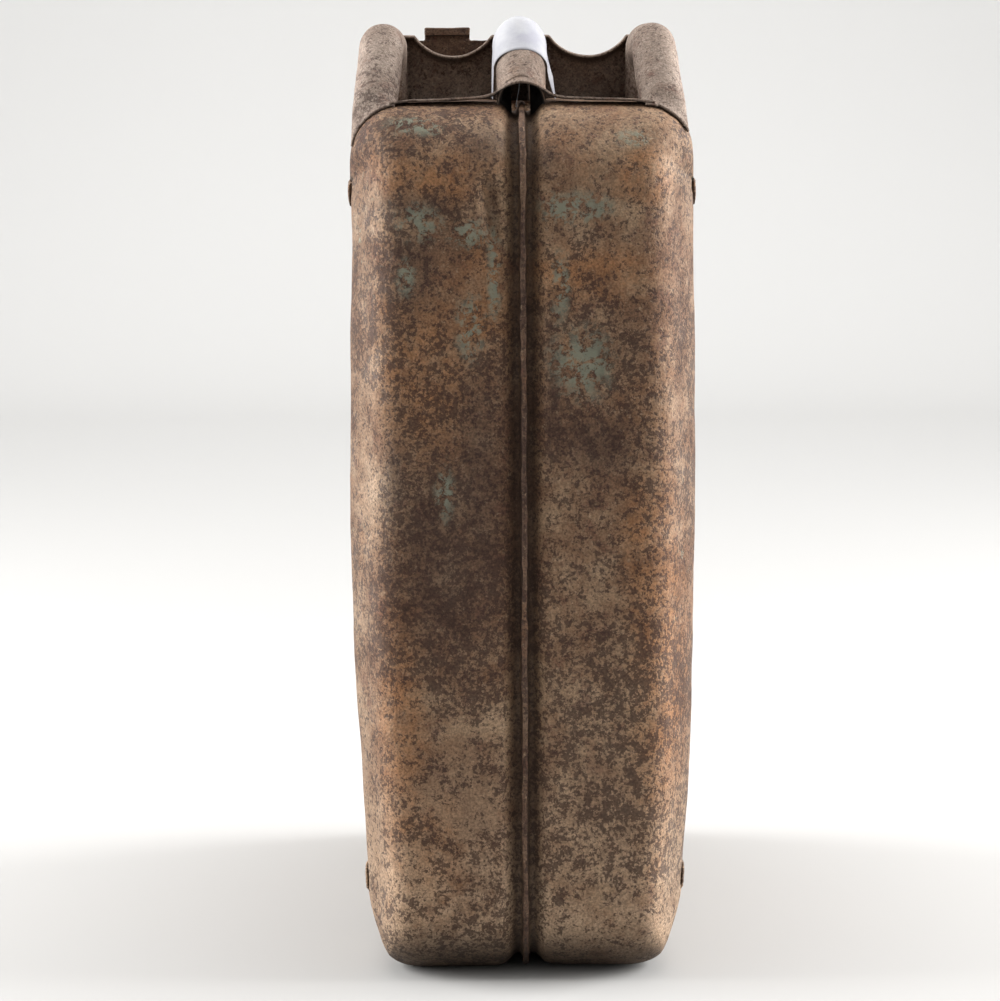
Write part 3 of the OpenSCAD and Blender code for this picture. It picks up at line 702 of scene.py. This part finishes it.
# ---------------------------------------------------------------- materials
class Nodes:
    """A material under construction. Places in it are in the object's own frame, in metres."""

    def __init__(self, name):
        self.mat = bpy.data.materials.new(name)
        self.mat.use_nodes = True
        self.tree = self.mat.node_tree
        self.tree.nodes.clear()
        self.bsdf = self.add("ShaderNodeBsdfPrincipled")
        self.link(self.bsdf.outputs[0], self.add("ShaderNodeOutputMaterial").inputs[0])
        self.pos = self.add("ShaderNodeTexCoord").outputs["Object"]
        self.split = None
        self.wobbles = {}

    def add(self, kind, **props):
        node = self.tree.nodes.new(kind)
        for key, value in props.items():
            setattr(node, key, value)
        return node

    def link(self, a, b):
        self.tree.links.new(a, b)

    def put(self, socket, value):
        """Links a socket, or sets a colour or number on it."""
        if hasattr(value, "links"):
            self.link(value, socket)
        elif isinstance(value, tuple) and len(value) == 3 and len(socket.default_value) == 4:
            socket.default_value = (*value, 1)
        else:
            socket.default_value = value

    def noise(self, scale, detail=4, rough=0.55, distort=0.0, offset=(0, 0, 0), stretch=(1, 1, 1)):
        mapping = self.add("ShaderNodeMapping")
        mapping.inputs["Location"].default_value = offset
        mapping.inputs["Scale"].default_value = stretch
        self.link(self.pos, mapping.inputs["Vector"])
        node = self.add("ShaderNodeTexNoise")
        self.link(mapping.outputs[0], node.inputs["Vector"])
        node.inputs["Scale"].default_value = scale
        node.inputs["Detail"].default_value = detail
        node.inputs["Roughness"].default_value = rough
        node.inputs["Distortion"].default_value = distort
        return node.outputs["Fac"]

    def math(self, op, a, b=0.0, c=None):
        node = self.add("ShaderNodeMath", operation=op)
        self.put(node.inputs[0], a)
        self.put(node.inputs[1], b)
        if c is not None:
            self.put(node.inputs[2], c)
        return node.outputs[0]

    def times(self, a, b):
        return self.math("MULTIPLY", a, b)

    def ramp(self, fac, lo, hi, to0=0.0, to1=1.0):
        node = self.add("ShaderNodeMapRange", clamp=True, interpolation_type="SMOOTHSTEP")
        self.put(node.inputs["Value"], fac)
        node.inputs["From Min"].default_value = lo
        node.inputs["From Max"].default_value = hi
        node.inputs["To Min"].default_value = to0
        node.inputs["To Max"].default_value = to1
        return node.outputs["Result"]

    def mix(self, fac, a, b, blend="MIX"):
        node = self.add("ShaderNodeMix", data_type="RGBA", blend_type=blend)
        self.put(node.inputs[0], fac)
        self.put(node.inputs[6], a)
        self.put(node.inputs[7], b)
        return node.outputs[2]

    def tint(self, mask, amount, under, colour):
        """The colour laid over what is under it, by a share of the mask."""
        return self.mix(self.times(mask, amount), under, colour)

    def colours(self, fac, stops):
        node = self.add("ShaderNodeValToRGB")
        self.put(node.inputs[0], fac)
        ramp = node.color_ramp
        while len(ramp.elements) > 1:
            ramp.elements.remove(ramp.elements[-1])
        ramp.elements[0].position = stops[0][0]
        ramp.elements[0].color = (*stops[0][1], 1)
        for place, colour in stops[1:]:
            element = ramp.elements.new(place)
            element.color = (*colour, 1)
        return node.outputs[0]

    def axis(self, name):
        if self.split is None:
            self.split = self.add("ShaderNodeSeparateXYZ")
            self.link(self.pos, self.split.inputs[0])
        return self.split.outputs[name]

    def face(self, name):
        """One part of the surface's normal, in the object's own frame."""
        node = self.add("ShaderNodeSeparateXYZ")
        self.link(self.add("ShaderNodeTexCoord").outputs["Normal"], node.inputs[0])
        return node.outputs[name]

    def grey(self, value):
        node = self.add("ShaderNodeCombineColor")
        for i in range(3):
            self.put(node.inputs[i], value)
        return node.outputs[0]

    def patch(self, centre, size, edge, wobble, scale):
        """A noise-edged patch: 1 inside the ellipsoid round centre (metres), 0 outside."""
        key = round(scale)
        if key not in self.wobbles:
            self.wobbles[key] = self.math("SUBTRACT", self.noise(scale, 4, 0.7), 0.5)
        sub = self.add("ShaderNodeVectorMath", operation="SUBTRACT")
        self.link(self.pos, sub.inputs[0])
        sub.inputs[1].default_value = centre
        div = self.add("ShaderNodeVectorMath", operation="DIVIDE")
        self.link(sub.outputs[0], div.inputs[0])
        div.inputs[1].default_value = size
        length = self.add("ShaderNodeVectorMath", operation="LENGTH")
        self.link(div.outputs[0], length.inputs[0])
        d = self.math("MULTIPLY_ADD", self.wobbles[key], wobble * 4, length.outputs["Value"])
        return self.ramp(d, 1.0 - edge, 1.0 + edge, 1.0, 0.0)

    def patches(self, rows, edge, wobble, scale):
        """Several noise-edged patches as one mask; each row is a place on the plain end and a size."""
        out = None
        for centre, size in rows:
            one = self.patch(at(*centre), size, edge, wobble, scale)
            out = one if out is None else self.math("MAXIMUM", out, one)
        return out

    def bump(self, height, strength, distance):
        node = self.add("ShaderNodeBump")
        node.inputs["Strength"].default_value = strength
        node.inputs["Distance"].default_value = distance
        self.put(node.inputs["Height"], height)
        return node.outputs[0]


def at(x, z):
    """A place on the plain end's face, in metres, from how far across and up it is in millimetres."""
    return (x * MM, -HALF_L * MM, z * MM)


# Patches on the plain end: place across and up in millimetres, and half sizes in metres.
DENSE_PITS = [((36, 185), (0.040, 0.06, 0.125)), ((-34, 205), (0.032, 0.06, 0.095))]
WARM_SPOTS = [
    ((-40, 392), (0.026, 0.05, 0.011)), ((58, 392), (0.012, 0.05, 0.012)), ((-60, 110), (0.010, 0.06, 0.065)),
    ((66, 150), (0.014, 0.06, 0.085)), ((-48, 300), (0.018, 0.05, 0.040)), ((30, 345), (0.030, 0.05, 0.012)),
    ((-52, 60), (0.018, 0.05, 0.03)), ((58, 215), (0.010, 0.06, 0.03)), ((-20, 330), (0.010, 0.05, 0.03))]
SOOT_AND_CREASE_SHADOW_SPOTS = [
    ((-16, 408), (0.010, 0.05, 0.008)), ((-50, 378), (0.018, 0.05, 0.006)), ((-52, 345), (0.010, 0.05, 0.02)),
    ((-22, 240), (0.010, 0.05, 0.06)), ((-40, 215), (0.020, 0.05, 0.045)), ((34, 262), (0.018, 0.05, 0.012)),
    ((-62, 250), (0.005, 0.05, 0.02)), ((10, 400), (0.006, 0.05, 0.006)),
    # the thin patch at (-14.6, 377) lies along the crease left of the groove: a painted shadow, not soot
    ((-14.6, 377), (0.0032, 0.05, 0.013)), ((14, 290), (0.004, 0.05, 0.03))]
PAINT_SPOTS = [
    ((-50, 371), (0.009, 0.04, 0.008)), ((-26, 365), (0.008, 0.04, 0.006)),
    ((-56, 345), (0.004, 0.04, 0.008)), ((-25, 320), (0.006, 0.04, 0.014)),
    ((25, 377), (0.016, 0.04, 0.007)), ((28, 303), (0.013, 0.04, 0.014)),
    ((-52, 416), (0.012, 0.04, 0.004)), ((54, 410), (0.008, 0.04, 0.004)),
    ((-38, 240), (0.004, 0.04, 0.012)), ((18, 340), (0.004, 0.04, 0.014)),
    ((-14, 345), (0.003, 0.04, 0.02))]
ORANGE, BRIGHT_ORANGE, RED_BROWN = (0.23, 0.105, 0.045), (0.30, 0.135, 0.052), (0.10, 0.042, 0.027)
SOOT_AND_CREASE_SHADOW, DUST, OLD_PAINT = (0.058, 0.034, 0.024), (0.37, 0.26, 0.17), (0.20, 0.215, 0.16)


def blooms(m, col, off, seed, ochre, light, fine):
    """Orange bloom, red brown islands and worn, paler flecks over the base colour."""
    bloom = m.times(m.ramp(m.noise(17, 5, 0.7, 0.8, (3 + seed, 1, 2)), 0.52, 0.68),
                    m.ramp(m.noise(120, 4, 0.7, 0, off), 0.35, 0.6))
    col = m.tint(bloom, ochre, col, ORANGE)
    red = m.ramp(m.noise(75, 5, 0.75, 0.4, (9 + seed, 4, 7)), 0.54, 0.64)
    col = m.tint(red, 0.55, col, RED_BROWN)
    fleck = m.ramp(m.noise(330 * fine, 4, 0.8, 0.2, (1, seed, 5)), 0.56, 0.68)
    return m.tint(fleck, 0.55, col, light)


def stains_and_crease_shadow(m, col):
    """The body's own warm and sooty patches, a painted shadow along the crease left of the groove, and dust
    low down.
    """
    warm = m.patches(WARM_SPOTS, 0.7, 0.32, 52)
    col = m.mix(m.times(warm, m.ramp(m.noise(90, 4, 0.7), 0.3, 0.62, 0.1, 0.62)), col, BRIGHT_ORANGE)
    col = m.tint(m.patches(SOOT_AND_CREASE_SHADOW_SPOTS, 0.8, 0.32, 52), 0.5, col, SOOT_AND_CREASE_SHADOW)
    dust = m.times(m.ramp(m.axis("Z"), 0.14, 0.02), m.ramp(m.noise(38, 5, 0.7, 0.4), 0.30, 0.58))
    return m.tint(dust, 0.72, col, DUST)


def old_paint_and_face_shade(m, col):
    """A darker colour in the pressed pattern, painted shade on the broad faces, and what is left of the
    paint. Gives the colour and the paint's mask.
    """
    low = m.add("ShaderNodeAttribute", attribute_name="hollow").outputs["Fac"]
    # a darker colour in the pressed pattern, patchy by noise
    edge = m.times(m.ramp(low, 0.05, 0.75), m.ramp(m.noise(60, 5, 0.7), 0.30, 0.60, 0.25, 0.62))
    col = m.mix(edge, col, (0.075, 0.040, 0.024))
    # painted shade: faces turned to the sides, lit hard by the side lamps, are made darker
    broad_face_shade = m.ramp(m.math("ABSOLUTE", m.face("X")), 0.80, 0.98, 1.0, 0.74)
    col = m.mix(1.0, col, m.grey(broad_face_shade), "MULTIPLY")
    spots = m.patches(PAINT_SPOTS, 0.6, 0.4, 120)
    chips = m.ramp(m.noise(190, 5, 0.75, 0.5, (6, 6, 6)), 0.47, 0.54)
    wide = m.times(m.ramp(m.noise(9, 3, 0.5, 0.3, (7, 7, 7)), 0.50, 0.62),
                   m.ramp(m.noise(170, 5, 0.75, 0.5, (8, 6, 5)), 0.60, 0.65))
    sides = m.ramp(m.math("ABSOLUTE", m.axis("X")), 0.070, 0.078)
    high = m.ramp(m.axis("Z"), 0.22, 0.30)
    where = m.math("MAXIMUM", sides, m.times(high, 0.8))
    mask = m.math("MAXIMUM", m.times(spots, chips), m.times(wide, where))
    return m.tint(mask, 0.8, col, OLD_PAINT), mask


def paint_handle_shade(m, col):
    """Painted shade: a darker wall at the spout side, and a nearly black inside to the middle bar, both where
    shade falls in the handle.
    """
    inside = m.times(m.ramp(m.axis("Y"), -0.050, -0.036), m.ramp(m.axis("Z"), 0.454, 0.446))
    front = m.ramp(m.face("Y"), 0.2, -0.3)
    col = m.tint(m.times(inside, front), 0.15, col, (0.045, 0.030, 0.022))
    inner = m.times(m.ramp(m.times(m.axis("X"), m.face("X")), -0.0002, -0.0022),
                    m.ramp(m.math("ABSOLUTE", m.axis("X")), 0.0135, 0.0118))
    return m.tint(inner, 0.9, col, (0.012, 0.009, 0.007))


def rust_skin(name, stops, pit_amount, pit_dark=(0.038, 0.018, 0.012), light=(0.32, 0.225, 0.145), ochre=0.35,
              seam_groove_shade=True, patches=False, seed=0.0, fine=1.0, bump=1.0, handle_shade=False):
    """Rusted steel, with painted shade on every face that turns down. One flag paints shade into the seam's
    groove; patches adds the body's own stained patches and paint, a painted shadow in a crease and painted
    shade on the broad faces; another flag paints shade inside the handle.
    """
    m = Nodes(name)
    off = (seed, seed * 1.7, seed * 0.6)
    mid = m.noise(46, 6, 0.68, 0.3, off)
    tone = m.math("ADD", m.times(m.noise(11, 5, 0.6, 0.6, off), 0.45), m.times(mid, 0.55))
    col = blooms(m, m.colours(tone, stops), off, seed, ochre, light, fine)
    zone = m.noise(15, 4, 0.65, 0.5, (5, 8 + seed, 1))
    if patches:
        zone = m.math("MULTIPLY_ADD", m.patches(DENSE_PITS, 0.5, 0.35, 24), 0.12, zone)
        col = stains_and_crease_shadow(m, col)
    # pits: coarse clusters and fine grain, thicker where the zone says so
    coarse = m.noise(200 * fine, 5, 0.75, 0.25, (seed, 2, 9))
    small = m.noise(560 * fine, 3, 0.7, 0.0, (4, seed, 3))
    cover = m.ramp(zone, 0.36, 0.66, 0.395 + 0.08 * pit_amount, 0.455 + 0.09 * pit_amount)
    pit = m.math("SUBTRACT", cover, m.math("ADD", m.times(coarse, 0.52), m.times(small, 0.48)))
    pit = m.ramp(pit, -0.012, 0.03)
    col = m.tint(pit, 0.78, col, pit_dark)
    grain = m.ramp(m.noise(900 * fine, 2, 0.6), 0.34, 0.66, 0.72, 1.28)
    col = m.mix(1.0, col, m.grey(grain), "MULTIPLY")
    height = m.math("ADD", m.times(coarse, 0.6), m.times(small, 0.5))
    height = m.math("ADD", height, m.times(pit, -0.35))
    if patches:
        col, paint = old_paint_and_face_shade(m, col)
        height = m.math("ADD", height, m.times(paint, 0.25))
    height = m.math("ADD", height, m.times(mid, 0.8))
    if seam_groove_shade:
        # painted shade: the seam's groove, a recess, is darkened close to the seam
        near_seam = m.ramp(m.math("ABSOLUTE", m.axis("X")), 0.0042, 0.0092, 1.0, 0.0)
        col = m.tint(near_seam, 0.72, col, (0.024, 0.012, 0.007))
    # painted shade on the wall between the bars and inside the middle bar
    if handle_shade:
        col = paint_handle_shade(m, col)
    # painted shade: every face that turns down is made nearly black, as if in shade
    under = m.ramp(m.face("Z"), -0.15, -0.75)
    col = m.tint(under, 0.75, col, (0.022, 0.015, 0.011))
    m.put(m.bsdf.inputs["Base Color"], col)
    m.bsdf.inputs["Specular IOR Level"].default_value = 0.32
    m.put(m.bsdf.inputs["Roughness"], m.ramp(tone, 0.35, 0.65, 0.86, 0.62))
    m.put(m.bsdf.inputs["Normal"], m.bump(height, 0.55 * bump, 0.0011))
    return m.mat


# Base colours from the darkest rust to the palest.
BODY_STOPS = [(0.34, (0.085, 0.042, 0.024)), (0.43, (0.145, 0.078, 0.044)), (0.51, (0.205, 0.122, 0.070)),
              (0.59, (0.265, 0.172, 0.103)), (0.70, (0.33, 0.225, 0.142))]
BAR_STOPS = [(0.34, (0.135, 0.094, 0.072)), (0.44, (0.19, 0.14, 0.110)), (0.54, (0.245, 0.188, 0.150)),
             (0.66, (0.32, 0.255, 0.205))]
DARK_STOPS = [(0.34, (0.05, 0.028, 0.020)), (0.46, (0.085, 0.047, 0.031)), (0.56, (0.13, 0.075, 0.046)),
              (0.68, (0.19, 0.125, 0.08))]

BODY_RUST = rust_skin("body_rust", BODY_STOPS, 0.75, patches=True)
BAR_RUST = rust_skin("bar_rust", BAR_STOPS, 0.42, (0.065, 0.038, 0.028), (0.33, 0.275, 0.22), 0.22,
                     seam_groove_shade=False, seed=3.1, fine=1.15, handle_shade=True)
WELD_RUST = rust_skin("weld_rust", DARK_STOPS, 0.6, ochre=0.5, seam_groove_shade=False, seed=5.2, bump=1.3)
PLATE_RUST = rust_skin("plate_rust", DARK_STOPS, 0.6, ochre=0.45, seam_groove_shade=False, seed=7.7)
FITTING_RUST = rust_skin("fitting_rust", BODY_STOPS, 0.62, seam_groove_shade=False, seed=9.4)
PIN_RUST = rust_skin("pin_rust", DARK_STOPS, 0.35, light=(0.30, 0.27, 0.24), ochre=0.2, seam_groove_shade=False,
                     seed=11.3, fine=1.4)


def rubber_skin(name):
    m = Nodes(name)
    n = m.noise(160, 5, 0.7)
    stops = [(0.35, (0.012, 0.012, 0.012)), (0.6, (0.03, 0.028, 0.026)), (0.75, (0.08, 0.07, 0.06))]
    col = m.colours(n, stops)
    m.put(m.bsdf.inputs["Base Color"], col)
    m.put(m.bsdf.inputs["Roughness"], m.ramp(n, 0.3, 0.7, 0.55, 0.85))
    m.put(m.bsdf.inputs["Normal"], m.bump(m.noise(520, 4, 0.7), 0.4, 0.0004))
    return m.mat


def paper_skin(name):
    m = Nodes(name)
    n = m.noise(55, 5, 0.6, 0.4)
    fibre = m.noise(700, 3, 0.7, 0.0, (0, 0, 0), (1, 3, 1))
    col = m.colours(n, [(0.35, (0.33, 0.33, 0.37)), (0.6, (0.42, 0.42, 0.44)), (0.8, (0.47, 0.47, 0.47))])
    col = m.mix(m.ramp(m.noise(240, 5, 0.8), 0.60, 0.74, 0.0, 0.35), col, (0.40, 0.34, 0.29))
    m.put(m.bsdf.inputs["Base Color"], col)
    m.put(m.bsdf.inputs["Roughness"], m.ramp(fibre, 0.3, 0.7, 0.6, 0.85))
    m.bsdf.inputs["Specular IOR Level"].default_value = 0.3
    m.put(m.bsdf.inputs["Normal"], m.bump(m.math("ADD", m.times(n, 2.5), fibre), 0.25, 0.0006))
    return m.mat


RUBBER = rubber_skin("rubber_skin")
PAPER = paper_skin("paper_skin")

make_shell("shell_left_sheet", -1, 1, BODY_RUST)
make_shell("shell_right_sheet", 1, 2, BODY_RUST)
make_weld(WELD_RUST)
make_handle(BAR_RUST)
make_catch(PLATE_RUST)
make_tag(PAPER)
make_spout(FITTING_RUST, PIN_RUST, RUBBER)

# ---------------------------------------------------------------- floor, light
scene = bpy.context.scene
scene.view_settings.view_transform = "Standard"


def studio_world():
    """A soft white surround, darker in front of the can than behind it."""
    world = bpy.data.worlds.new("studio")
    world.use_nodes = True
    tree = world.node_tree
    place = tree.nodes.new("ShaderNodeTexCoord")
    split = tree.nodes.new("ShaderNodeSeparateXYZ")
    fade = tree.nodes.new("ShaderNodeMapRange")
    tree.links.new(place.outputs["Generated"], split.inputs[0])
    tree.links.new(split.outputs["Y"], fade.inputs["Value"])
    tree.links.new(fade.outputs["Result"], tree.nodes["Background"].inputs["Strength"])
    for socket, value in (("From Min", -0.9), ("From Max", 0.2), ("To Min", 0.34), ("To Max", 1.0)):
        fade.inputs[socket].default_value = value
    tree.nodes["Background"].inputs["Color"].default_value = (0.95, 0.945, 0.93, 1)
    return world


scene.world = studio_world()


def backdrop():
    """A floor that curves up into a plain wall behind the can. Lengths here are in metres."""
    half, bend, bend_at = 14.0, 1.6, 2.6
    path = [(-half, 0.0), (0.0, 0.0), (bend_at, 0.0)]
    path += [(bend_at + bend * math.sin(t), bend - bend * math.cos(t))
             for t in np.linspace(0, math.pi / 2, 25)[1:]]
    path += [(bend_at + bend, 9.0)]
    verts = [(x, y, z) for y, z in path for x in (-half, half)]
    faces = [(2 * i, 2 * i + 1, 2 * i + 3, 2 * i + 2) for i in range(len(path) - 1)]
    mesh = bpy.data.meshes.new("backdrop")
    mesh.from_pydata(verts, [], faces)
    obj = bpy.data.objects.new("backdrop", mesh)
    scene.collection.objects.link(obj)
    for poly in mesh.polygons:
        poly.use_smooth = True
    m = Nodes("backdrop_paint_and_floor_shade")
    # painted shade: the floor near the can is darker, fading to the pale wall behind
    far = m.ramp(m.axis("Y"), 0.6, 3.6)
    m.put(m.bsdf.inputs["Base Color"], m.mix(far, (0.415, 0.41, 0.402), (0.84, 0.835, 0.825)))
    m.bsdf.inputs["Roughness"].default_value = 0.75
    m.bsdf.inputs["Specular IOR Level"].default_value = 0.25
    mesh.materials.append(m.mat)


backdrop()


def area(name, place, look, size, power):
    """A soft white lamp at place, turned to look."""
    data = bpy.data.lights.new(name, "AREA")
    data.shape = "RECTANGLE"
    data.size, data.size_y = size
    data.energy = power
    obj = bpy.data.objects.new(name, data)
    scene.collection.objects.link(obj)
    obj.location = place
    way = Vector(look) - Vector(place)
    obj.rotation_euler = way.to_track_quat("-Z", "Y").to_euler()


area("side_left", (-1.7, 0.25, 0.75), (0, 0, 0.25), (1.3, 1.5), 84)
area("side_right", (1.7, 0.25, 0.75), (0, 0, 0.25), (1.3, 1.5), 98)
area("top", (0, 0.1, 2.2), (0, 0, 0.2), (1.6, 1.2), 22)
area("wall_wash", (0, 1.2, 3.0), (0, 3.6, 0.8), (3.0, 1.0), 20)
